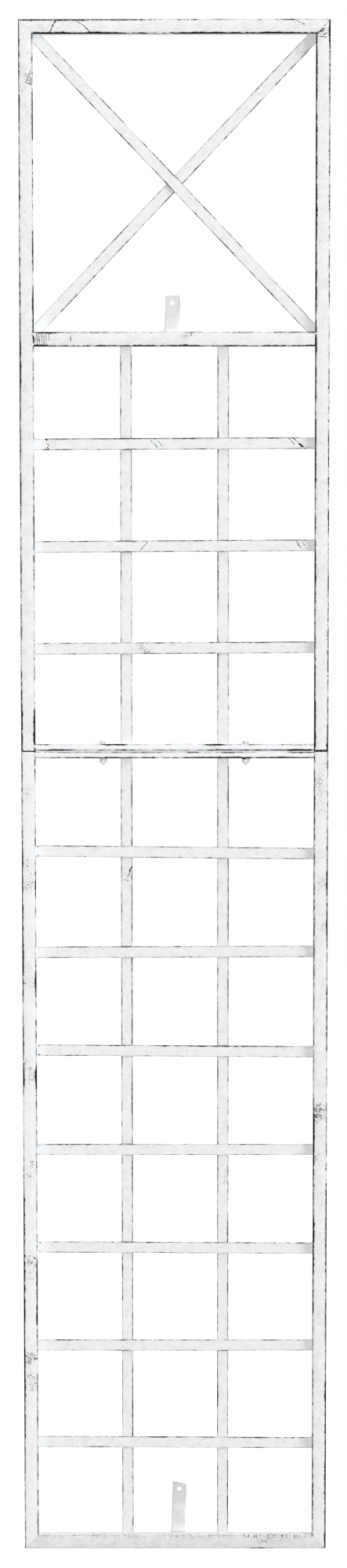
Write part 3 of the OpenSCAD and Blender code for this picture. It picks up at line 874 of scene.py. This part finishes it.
def makeTab(name, run, panel):
    shape = tabShape
    low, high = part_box(run["node"])
    middle, half, thick, edge = (low.x + high.x) / 2, shape["width"] / 2, shape["thick"] / 2, shape["edge"]
    path = tabPath(low, high)
    rows = [(half, thick - edge), (half - edge * 0.3, thick - edge * 0.3), (half - edge, thick),
            (half / 2, thick), (0, thick)]
    ring = rows + [(-a, b) for a, b in reversed(rows[:-1])]
    ring = [(half, 0)] + ring + [(-half, 0)] + [(a, -b) for a, b in reversed(ring)]
    faces, count = [], len(ring)
    wallFaces(faces, 0, count, len(path))
    faces += [tuple(range(count)), tuple(range((len(path) - 1) * count, len(path) * count))]
    piece = meshObject(name, tabPoints(path, ring, low, high, run), faces, shape["smooth"])
    zHole, hole = high.z - shape["holeDrop"], shape["hole"] / 2
    centre = Vector((middle, high.y, zHole))
    drill(piece, [roundRod(name + "Drill", hole, shape["drill"], centre, "Y", shape["holeSides"])])
    places = vertexPlaces(piece.data)
    across = places[:, 0] - middle
    line = np.array([(y, z) for y, z, lean in path])
    steps = np.concatenate([[0], np.cumsum(np.linalg.norm(np.diff(line, axis=0), axis=1))])
    u = steps[np.argmin(((places[:, None, 1:] - line[None]) ** 2).sum(2), axis=1)]
    holeRim = np.abs(np.hypot(across, places[:, 2] - zHole) - hole)
    holeRim = np.where(places[:, 1] > high.y - shape["holeReach"], holeRim, 1.0)
    rim = np.minimum(np.minimum(np.clip(half - np.abs(across), 0, None), steps[-1] - u), holeRim)
    # painted shade: the paint greys upward from just above the foot, over the plate
    dim = run["dim"] * np.clip((places[:, 2] - low.z - shape["dimFrom"]) / shape["dimOver"], 0, 1)
    storeMarks(piece.data, np.stack([u + laySpacing * shape["seed"], across, places[:, 1]], axis=1),
               rim=rim, stop=steps[-1] - u, rub=shape["rub"], scuff=0.0, dim=dim)
    settle(piece, run["node"], panel, "wall_tabs")


for panel, runs in tabRuns.items():
    for name, run in runs.items():
        makeTab(name, run, panel)
print("wall tabs bent:", len(tabRuns))


# bolts, washers and nuts that hold the two panels together
boltShape = {
    "acrossFlats": 0.010, "headHeight": 0.004, "sides": 72, "chamfer": 0.0003, "cone": 60,
    "chamferDrops": (0.0, 0.00012, 0.00025, 0.0004, 0.0006), "thread": 0.006, "threadDepth": 0.0005,
    "threadSides": 24, "pitch": 0.001, "turnSteps": 8, "tip": 0.0008, "intoHead": 0.0005, "stop": 0.05,
    "cornerFrom": 0.98, "farFromCorner": 0.003, "nutHole": 0.00616, "nutThread": 0.0004,
    "nutMouth": 0.0006, "washerHole": 0.0064, "washerEase": 0.0003, "washerSides": 48, "smooth": 30,
}
boltLook = {
    "bolt": {"piece": "HexBolt", "seed": 51, "rub": 0.9, "scuff": 0.2},
    "nut": {"piece": "HexNut", "seed": 53, "rub": 1.0, "scuff": 0.2},
    "washer": {"piece": "Washer", "seed": 55, "rub": 0.9, "scuff": 0.3},
}
boltSides = ("left", "right")


def ringAt(z, sides, reachAt):
    # one ring of points, as far out as reachAt says for each turn and share of the round
    ring = []
    for k in range(sides):
        turn = 2 * math.pi * k / sides
        reach = reachAt(turn, k / sides)
        ring.append((reach * math.cos(turn), reach * math.sin(turn), z))
    return ring


def hexRings(zLow, zHigh):
    # rings of a hexagon whose points are turned off by a cone at both ends
    half, sixth = boltShape["acrossFlats"] / 2, math.radians(60)
    steep, drops, rings = math.tan(math.radians(boltShape["cone"])), boltShape["chamferDrops"], []
    for z in [zLow + drop for drop in drops] + [zHigh - drop for drop in reversed(drops)]:
        cone = half - boltShape["chamfer"] + steep * min(zHigh - z, z - zLow)
        rings.append(ringAt(z, boltShape["sides"],
                            lambda turn, share: min(half / math.cos(turn % sixth - sixth / 2), cone)))
    return rings


def threadRings(zLow, zHigh, radius, depth, sides, tip=0.0):
    # a depth below 0 cuts outwards, as in a nut; tip is how far the end is turned down
    pitch, rings = boltShape["pitch"], []
    for z in np.linspace(zLow, zHigh, max(8, round((zHigh - zLow) / (pitch / boltShape["turnSteps"])))):
        top = radius - tip + (z - zLow) if tip else math.inf
        rings.append(ringAt(z, sides, lambda turn, share: min(
            radius - depth * abs(((z / pitch - share) % 1.0) * 2 - 1), top)))
    return rings


def skin(rings, points, faces, capped=True):
    # a shell over a stack of rings, capped at both ends or closed from the last ring to the first
    start, count = len(points), len(rings[0])
    last = start + (len(rings) - 1) * count
    for ring in rings:
        points.extend(ring)
    wallFaces(faces, start, count, len(rings))
    if capped:
        faces.append(tuple(start + k for k in reversed(range(count))))
        faces.append(tuple(last + k for k in range(count)))
        return
    for k in range(count):
        after = (k + 1) % count
        faces.append((last + k, last + after, start + after, start + k))


def hexRim(turn, away):
    corner = np.abs((turn + math.radians(30)) % math.radians(60) - math.radians(30)) * away
    onHex = away > boltShape["acrossFlats"] / 2 * boltShape["cornerFrom"]
    return np.where(onHex, corner, boltShape["farFromCorner"])


def settleHardware(side, kind, points, faces, rimOf):
    # move a turned piece to its axis, mark its wear and hand it over
    look, node = boltLook[kind], side + "_" + kind
    low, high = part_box(node)
    centre = Vector(((low.x + high.x) / 2, (low.y + high.y) / 2, 0))
    points = [(x + centre.x, y + centre.y, z) for x, y, z in points]
    piece = meshObject(side + look["piece"], points, faces, boltShape["smooth"])
    places = vertexPlaces(piece.data) - np.array(centre)
    turn, away = np.arctan2(places[:, 1], places[:, 0]), np.hypot(places[:, 0], places[:, 1])
    seed = look["seed"] + boltSides.index(side)
    storeMarks(piece.data, places + np.array([laySpacing * seed, 0, 0]),
               rim=rimOf(turn, away), stop=boltShape["stop"], rub=look["rub"], scuff=look["scuff"])
    settle(piece, node, node + "_body", "hardware")


def makeBolt(side):
    low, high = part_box(side + "_bolt")
    seat, points, faces = high.z - boltShape["headHeight"], [], []
    skin(hexRings(seat, high.z), points, faces)
    skin(threadRings(low.z, seat + boltShape["intoHead"], boltShape["thread"] / 2, boltShape["threadDepth"],
                     boltShape["threadSides"], boltShape["tip"]), points, faces)
    settleHardware(side, "bolt", points, faces, hexRim)


def makeNut(side):
    low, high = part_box(side + "_nut")
    sides, bore, cut = boltShape["sides"], boltShape["nutHole"] / 2, boltShape["nutThread"]
    inner = threadRings(low.z + cut, high.z - cut, bore, -cut, sides)
    mouths = [ringAt(z, sides, lambda turn, share: bore + boltShape["nutMouth"]) for z in (high.z, low.z)]
    points, faces = [], []
    skin(hexRings(low.z, high.z) + [mouths[0]] + inner[::-1] + [mouths[1]], points, faces, False)
    settleHardware(side, "nut", points, faces, hexRim)


def makeWasher(side):
    low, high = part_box(side + "_washer")
    radius, bore, ease = (high.x - low.x) / 2, boltShape["washerHole"] / 2, boltShape["washerEase"]
    profile = [(radius - ease, low.z), (radius, low.z + ease), (radius, high.z - ease),
               (radius - ease, high.z), (bore + ease, high.z), (bore, high.z - ease), (bore, low.z + ease),
               (bore + ease, low.z)]
    points, faces = [], []
    skin([ringAt(z, boltShape["washerSides"], lambda turn, share: reach) for reach, z in profile],
         points, faces, False)
    settleHardware(side, "washer", points, faces, lambda turn, away: np.abs(radius - away))


for side in boltSides:
    makeBolt(side)
    makeWasher(side)
    makeNut(side)
print("bolts, washers and nuts turned:", 3 * len(boltSides))


# weld beads: small overlapping drops along each seam, one mesh for each panel
weldLook = {
    "white": (0.84, 0.848, 0.852, 1), "dull": (0.66, 0.668, 0.672, 1), "iron": (0.02, 0.02, 0.021, 1),
    "gloss": 0.4, "rough": 0.62, "roughUneven": 0.25, "lumps": 420, "fine": 1300, "dulled": (0.42, 0.7),
    "pits": (0.60, 0.66), "lumpHeight": 0.00012, "fineHeight": 0.00005,
    "pitch": 0.0017, "drop": 0.00145, "uneven": 0.18, "firstSeed": 3,
    "seamFaces": (8, 5), "blobFaces": (20, 12), "front": -0.0075, "blobSink": 0.0011,
    "barDrop": 0.9, "barProud": 0.0003, "barIn": 0.0008, "barShort": 0.0015, "braceIn": 0.001,
    "braceLong": 0.010, "tubeDrop": 1.0, "tubeSunk": 0.0006, "tubeShort": 0.002, "mitreLong": 0.018,
    "tabDrop": 0.95, "tabProud": 0.0004, "tabShort": 0.001, "tabLong": 0.015,
}
weldInputs = [("Drop", "Float"), ("Uneven", "Float"), ("Seed", "Int"), ("Sides", "Int"), ("Bands", "Int")]


def weldPaint():
    material, bench = newMaterial("whitePaintOnWelds")
    where = bench.node("ShaderNodeTexCoord", out="Object")
    look = weldLook
    lumps, fine = grain(bench, where, look["lumps"]), grain(bench, where, look["fine"], detail=2.0)
    paint = blendColour(bench, lumps.rise(*look["dulled"]), look["white"], look["dull"])
    pits = mixed((lumps, fine), (0.7, 0.3)).rise(*look["pits"])
    colour = blendColour(bench, pits, paint, look["iron"])
    rough = look["rough"] + look["roughUneven"] * (fine - 0.5)
    height = lumps * look["lumpHeight"] + fine * look["fineHeight"]
    finishMaterial(bench, colour, rough, height, look["gloss"])
    return material


paints["weld"] = weldPaint()


def weldTree():
    tree, bench, keys, given = newTree("weldBeads", weldInputs)
    drop = bench.node("GeometryNodeMeshUVSphere", None,
                      {"Segments": given["Sides"], "Rings": given["Bands"], "Radius": given["Drop"]})
    points = bench.node("GeometryNodeMeshToPoints", None, {"Mesh": given["Geometry"], "Radius": 0.001})
    spread = bench.node("FunctionNodeRandomValue", {"data_type": "FLOAT"},
                        {2: 1 - given["Uneven"], 3: 1 + given["Uneven"], "Seed": given["Seed"]}, out=1)
    full = spread * bench.node("GeometryNodeInputNamedAttribute", {"data_type": "FLOAT"}, {"Name": "drop"})
    turn = bench.node("FunctionNodeRandomValue", {"data_type": "FLOAT_VECTOR"},
                      {0: (0, 0, 0), 1: (6.28, 6.28, 6.28), "Seed": given["Seed"]})
    scale = joined(bench, full, full, full)
    beads = bench.node("GeometryNodeInstanceOnPoints", None,
                       {"Points": points, "Instance": drop, "Rotation": turn, "Scale": scale})
    closeTree(bench, beads, paints["weld"], smooth=True)
    return tree, keys


def seam(y, first, last, drop):
    # drops from first to last, both given as x and z
    first, last = Vector((first[0], y, first[1])), Vector((last[0], y, last[1]))
    count = max(2, round((last - first).length / (weldLook["pitch"] * drop)))
    return [(tuple(first.lerp(last, k / (count - 1))), drop) for k in range(count)]


def barSeams(run):
    look, size = weldLook, weldLook["barDrop"]
    low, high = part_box(run["node"])
    y, near, short = high.y + look["barProud"], look["barIn"], look["barShort"]
    if high.x - low.x > high.z - low.z:
        ends = (low.x + near, high.x - near)
        return [seam(y, (x, low.z + short), (x, high.z - short), size) for x in ends]
    ends = (low.z + near, high.z - near)
    return [seam(y, (low.x + short, z), (high.x - short, z), size) for z in ends]


def braceSeams(run):
    # along both sides of the corner that each end stands in
    look, size = weldLook, weldLook["barDrop"]
    low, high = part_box(run["node"])
    y, near, long = high.y + look["barProud"], look["braceIn"], look["braceLong"]
    steep, seams = (high.z - low.z) / (high.x - low.x), []
    for end in (-1, 1):
        up = end * run["slope"]
        x, z = (high.x if end > 0 else low.x), (high.z if up > 0 else low.z)
        seams.append(seam(y, (x - end * near, z - near * up), (x - end * near, z - long * up * steep), size))
        seams.append(seam(y, (x - end * 2 * near, z - near * up), (x - end * long, z - near * up), size))
    return seams


def railSeams(run):
    # square ends get an upright seam, mitres a slanting one
    look, size = weldLook, weldLook["tubeDrop"]
    low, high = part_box(run["node"])
    y, short, long = high.y - look["tubeSunk"], look["tubeShort"], look["mitreLong"]
    if run["cut"] == (0, 0):
        return [seam(y, (x, low.z + short), (x, high.z - short), size) for x in (low.x, high.x)]
    outer, inner, down = (high.z, low.z, -1) if run["cut"][0] == -1 else (low.z, high.z, 1)
    return [seam(y, (x - end * short, outer + down * short), (x - end * long, inner - down * short), size)
            for x, end in ((low.x, -1), (high.x, 1))]


def tabSeams(run):
    look = weldLook
    low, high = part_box(run["node"])
    y, first, last = low.y + look["tabProud"], low.z + look["tabShort"], low.z + look["tabLong"]
    return [seam(y, (x, first), (x, last), look["tabDrop"]) for x in (low.x, high.x)]


def panelSeams(panel):
    # every seam is on the back or in a corner, as the drops would be ground off the front
    seams = []
    for run in flatRuns[panel].values():
        seams += braceSeams(run) if run.get("slope") else barSeams(run)
    for run in tubeRuns[panel].values():
        seams += railSeams(run) if run["along"] == "x" else []
    for run in tabRuns[panel].values():
        seams += tabSeams(run)
    return sum(seams, [])


# painted-over blobs that show on the front, at the ends of the rails: x, z and size
frontBlobs = {
    "upper_panel": [(-0.1955, 1.7205, 1.5), (-0.1965, 1.7065, 1.7), (0.1955, 1.7215, 1.2),
                    (-0.1960, 1.1485, 1.8)],
    "lower_panel": [(-0.1950, 1.1370, 2.1), (0.1955, 1.1375, 1.6), (-0.1940, 0.0205, 1.3)],
}
beadTree, beadKeys = weldTree()
for seed, (panel, spots) in enumerate(frontBlobs.items(), start=weldLook["firstSeed"]):
    title = panel.replace("_panel", "Panel")
    blobs = [((x, weldLook["front"] + weldLook["blobSink"] * size, z), size) for x, z, size in spots]
    for name, drops, (sides, bands) in ((title + "Welds", panelSeams(panel), weldLook["seamFaces"]),
                                        (title + "WeldBlobs", blobs, weldLook["blobFaces"])):
        values = {"Drop": weldLook["drop"], "Uneven": weldLook["uneven"], "Seed": seed,
                  "Sides": sides, "Bands": bands}
        beads = bakeTree(name, beadTree, beadKeys, values, drops)
        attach(beads, panel)
        print("weld drops in", name, len(drops))


# plain pale floor, soft light and a white surround
stageLook = {
    "floor": (0.68, 0.68, 0.68, 1), "floorShade": (0.44, 0.44, 0.44, 1), "floorGlow": 0.75, "floorReach": 6,
    "surround": 0.44, "surroundTint": (0.985, 0.993, 1.0, 1), "white": (1, 1, 1, 1),
}


def rayShare(bench):
    # 1 for rays from the camera, in gloss and through glass: these see the white surround
    rays = bench.node("ShaderNodeLightPath").socket.node.outputs
    names = ("Is Camera Ray", "Is Glossy Ray", "Is Transmission Ray")
    camera, gloss, glass = (Flow(bench.tree, rays[name]) for name in names)
    return (camera + gloss + glass).least(1.0)


def makeFloor():
    look, reach = stageLook, stageLook["floorReach"]
    mesh = bpy.data.meshes.new("floor")
    mesh.from_pydata([(-reach, -reach, 0), (reach, -reach, 0), (reach, reach, 0), (-reach, reach, 0)], [],
                     [(0, 1, 2, 3)])
    material, bench = newMaterial("paleFloor")
    plain = bench.node("ShaderNodeBsdfDiffuse", None, {"Color": look["floor"]})
    shade = bench.node("ShaderNodeBsdfDiffuse", None, {"Color": look["floorShade"]})
    glow = bench.node("ShaderNodeEmission", None, {"Color": look["white"], "Strength": look["floorGlow"]})
    seen = bench.node("ShaderNodeAddShader", None, {0: shade, 1: glow})
    both = bench.node("ShaderNodeMixShader", None, {0: rayShare(bench), 1: plain, 2: seen})
    bench.node("ShaderNodeOutputMaterial", None, {"Surface": both})
    mesh.materials.append(material)
    addObject("floor", mesh)


def makeSurround():
    look, world = stageLook, bpy.data.worlds.new("softSurround")
    world.use_nodes = True
    world.node_tree.nodes.clear()
    bench = Flow(world.node_tree)
    soft = bench.node("ShaderNodeBackground", None,
                      {"Color": look["surroundTint"], "Strength": look["surround"]})
    white = bench.node("ShaderNodeBackground", None, {"Color": look["white"], "Strength": 1.0})
    both = bench.node("ShaderNodeMixShader", None, {0: rayShare(bench), 1: soft, 2: white})
    bench.node("ShaderNodeOutputWorld", None, {"Surface": both})
    bpy.context.scene.world = world


lamps = {
    "keyFromRight": {"place": (8.6, -4.2, 4.4), "aim": (0, 0, 1.1), "size": (3.6, 6.0), "watts": 668},
    "fillFromLeft": {"place": (-2.7, -3.2, 1.1), "aim": (0, 0, 0.9), "size": (2.2, 2.6), "watts": 43},
    "softFromAbove": {"place": (0.0, -0.6, 5.5), "aim": (0, 0, 1.2), "size": (2.6, 1.8), "watts": 60},
    "softFromBehind": {"place": (0.5, 3.6, 2.4), "aim": (0, 0, 1.0), "size": (2.4, 2.6), "watts": 55},
}


def hangLamps():
    for name, look in lamps.items():
        data = bpy.data.lights.new(name, "AREA")
        data.shape, data.energy = "RECTANGLE", look["watts"]
        data.size, data.size_y = look["size"]
        lamp = addObject(name, data)
        lamp.location = look["place"]
        ahead = Vector(look["aim"]) - Vector(look["place"])
        lamp.rotation_euler = ahead.to_track_quat("-Z", "Y").to_euler()


# camera at the photograph's viewing angle: turns in degrees, focal length in pixels of a picture 2000 high
view = {
    "place": (0.0132, -4.4975, 1.4717), "pitch": -4.783, "yaw": -0.191, "roll": -0.039,
    "focal": 4105, "high": 2000, "sensor": 36.0, "farthest": 100,
}


def placeCamera():
    pitch, yaw, roll = (math.radians(view[key]) for key in ("pitch", "yaw", "roll"))
    ahead = Vector((math.sin(yaw) * math.cos(pitch), math.cos(yaw) * math.cos(pitch), math.sin(pitch)))
    right = Vector((math.cos(yaw), -math.sin(yaw), 0))
    up = right.cross(ahead)
    right, up = right * math.cos(roll) + up * math.sin(roll), up * math.cos(roll) - right * math.sin(roll)
    data = bpy.data.cameras.new("photoView")
    data.sensor_fit, data.sensor_height = "VERTICAL", view["sensor"]
    data.lens = view["focal"] * view["sensor"] / view["high"]
    data.clip_end = view["farthest"]
    camera = addObject("photoView", data)
    turned = Matrix((right, up, -ahead)).transposed().to_4x4()
    camera.matrix_world = Matrix.Translation(view["place"]) @ turned
    bpy.context.scene.camera = camera


makeFloor()
makeSurround()
hangLamps()
placeCamera()
bpy.context.scene.view_settings.view_transform = "Standard"
print("stage set")
